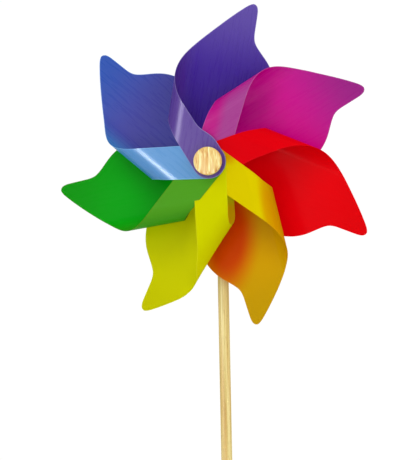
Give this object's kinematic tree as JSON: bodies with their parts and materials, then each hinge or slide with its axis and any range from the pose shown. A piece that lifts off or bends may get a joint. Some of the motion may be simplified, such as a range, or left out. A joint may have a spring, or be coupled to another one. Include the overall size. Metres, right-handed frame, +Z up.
{
  "type": "pinwheel",
  "caption": "Toy pinwheel: a ring of curled plastic blades in rainbow colours turning on an axle pin through a round wooden stick.",
  "frame": {"origin": "centre of the stick's lower end", "axes": "+Z up the stick, the wheel faces -Y, its axle runs along Y"},
  "size_m": [0.2825, 0.0747, 0.6245],
  "materials": {
    "stick_wood": "sanded bare softwood, straight grain along the stick",
    "turned_wood": "turned bare wood, grain across the face",
    "pin_steel": "drawn bright steel",
    "hub_plastic": "moulded natural white plastic",
    "sheet_violet": "thin glossy sheet, slightly translucent",
    "sheet_blue": "thin glossy sheet, slightly translucent",
    "sheet_green": "thin glossy sheet, slightly translucent",
    "sheet_yellow": "thin glossy sheet, slightly translucent",
    "sheet_orange": "thin glossy sheet, slightly translucent",
    "sheet_red": "thin glossy sheet, slightly translucent",
    "sheet_magenta": "thin glossy sheet, slightly translucent"
  },
  "bodies": {
    "stick": {"stick": "stick_wood", "axle": "pin_steel", "front_knob": "turned_wood", "rear_cap": "turned_wood", "spacer_bead": "turned_wood", "rear_washer": "pin_steel"},
    "wheel": {"hub_tube": "hub_plastic", "front_cap": "hub_plastic", "front_collar": "hub_plastic", "rear_collar": "hub_plastic", "blade_violet": "sheet_violet", "blade_blue": "sheet_blue", "blade_green": "sheet_green", "blade_yellow": "sheet_yellow", "blade_orange": "sheet_orange", "blade_red": "sheet_red", "blade_magenta": "sheet_magenta"}
  },
  "joints": [
    {"name": "wheel_spin", "type": "hinge", "parent": "stick", "child": "wheel", "pos_m": [0, -0.035, 0.48], "axis": [0, -1, 0], "continuous": true}
  ]
}
